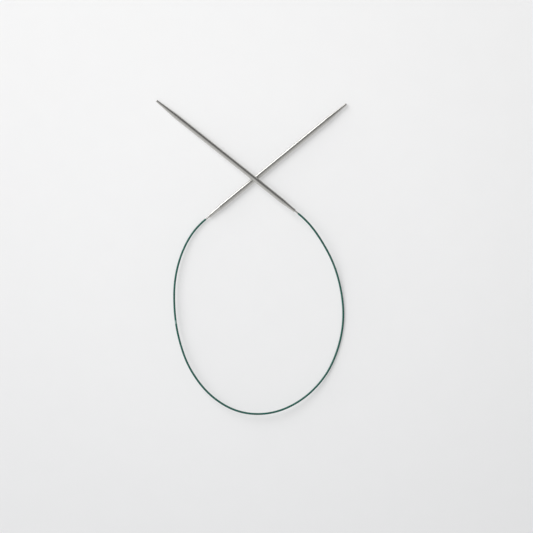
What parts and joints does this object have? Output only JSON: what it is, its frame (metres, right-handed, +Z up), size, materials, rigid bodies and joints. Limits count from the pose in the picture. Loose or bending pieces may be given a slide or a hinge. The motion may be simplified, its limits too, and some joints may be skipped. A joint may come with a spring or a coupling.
{
  "type": "circular knitting needle",
  "caption": "Fixed circular knitting needle: slim steel tips with long tapered points, joined through swivel joins by a springy green coated wire cord.",
  "frame": {"origin": "on the surface the needle lies on, under the middle of the two tips' box (the cord is left out of that box)", "axes": "+Z up from the surface; +X from the left tip's point to the right tip's point, the long way of the two tips' box; +Y from the joins to the points"},
  "size_m": [0.1324, 0.2181, 0.0091],
  "materials": {
    "needle_steel": "satin",
    "join_steel": "satin",
    "ferrule_steel": "polished",
    "cord_nylon": "satin",
    "cord_wire": "satin"
  },
  "bodies": {
    "cord": {"cord_jacket": "cord_nylon", "cord_core": "cord_wire", "left_ferrule": "ferrule_steel", "right_ferrule": "ferrule_steel"},
    "left_tip": {"left_shaft": "needle_steel", "left_collar": "join_steel"},
    "right_tip": {"right_shaft": "needle_steel", "right_collar": "join_steel"}
  },
  "joints": [
    {"name": "left_swivel", "type": "hinge", "parent": "cord", "child": "left_tip", "pos_m": [0.03227, -0.03719, 0.00805], "axis": [-0.7804, 0.6226, -0.0578], "continuous": true},
    {"name": "right_swivel", "type": "hinge", "parent": "cord", "child": "right_tip", "pos_m": [-0.0316, -0.041, 0.00175], "axis": [0.7736, 0.6336, 0], "continuous": true}
  ]
}
